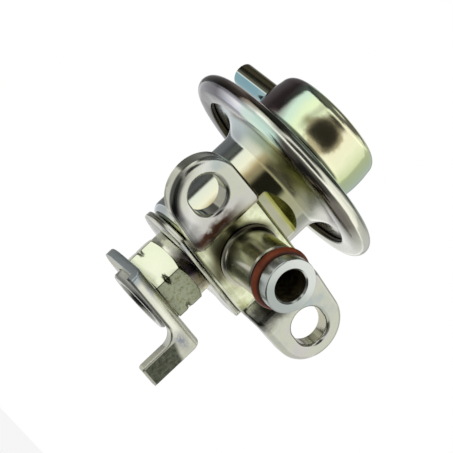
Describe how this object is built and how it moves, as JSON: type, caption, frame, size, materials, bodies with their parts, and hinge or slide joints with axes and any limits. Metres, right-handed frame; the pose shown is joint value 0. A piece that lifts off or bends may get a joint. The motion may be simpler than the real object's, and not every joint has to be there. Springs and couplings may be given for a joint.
{
  "type": "fuel pressure regulator",
  "caption": "Diaphragm fuel pressure regulator with a crimped spring cover, O-ring inlet pipe on a slotted flange, hexagon return union and stopper bracket.",
  "frame": {"origin": "centre of the mounting flange: on the inlet pipe's axis, in the plane of the two ears' front faces", "axes": "+Z along the main axis from the return port to the spring cover, -Y out of the inlet pipe to the fuel rail, +X from ear to ear"},
  "size_m": [0.0632, 0.0638, 0.0722],
  "materials": {
    "yellow_zinc": "bright yellow-green zinc plate",
    "green_zinc": "drawn steel with a thin zinc plate",
    "silver_zinc": "satin zinc plate with faint tints",
    "hex_zinc": "machined and zinc plated",
    "blue_steel": "dark bright tube",
    "brown_rubber": "rust-brown moulded rubber",
    "black_rubber": "matt coated fabric",
    "spring_steel": "plain spring steel",
    "bright_steel": "ground stainless steel"
  },
  "bodies": {
    "housing": {"spring_cover": "yellow_zinc", "vacuum_nipple": "blue_steel", "lower_body": "green_zinc", "diaphragm": "black_rubber", "pressure_spring": "spring_steel", "spring_seat": "spring_steel", "seat_tube": "bright_steel", "inlet_pipe": "silver_zinc", "o_ring": "brown_rubber", "mounting_bracket": "silver_zinc", "shelf_plate": "silver_zinc", "union_fitting": "hex_zinc", "stopper_bracket": "silver_zinc"},
    "valve": {"spring_plate": "spring_steel", "valve_plate": "spring_steel", "rivet_washer": "spring_steel", "valve_holder": "bright_steel", "valve_ball": "bright_steel", "ball_retainer": "bright_steel", "ball_spring": "spring_steel"}
  },
  "joints": [
    {"name": "valve_lift", "type": "slide", "parent": "housing", "child": "valve", "axis": [0, 0, 1], "range_m": [0, 0.001], "stiffness_N_per_m": 10000, "deforming": ["pressure_spring", "diaphragm"]}
  ]
}
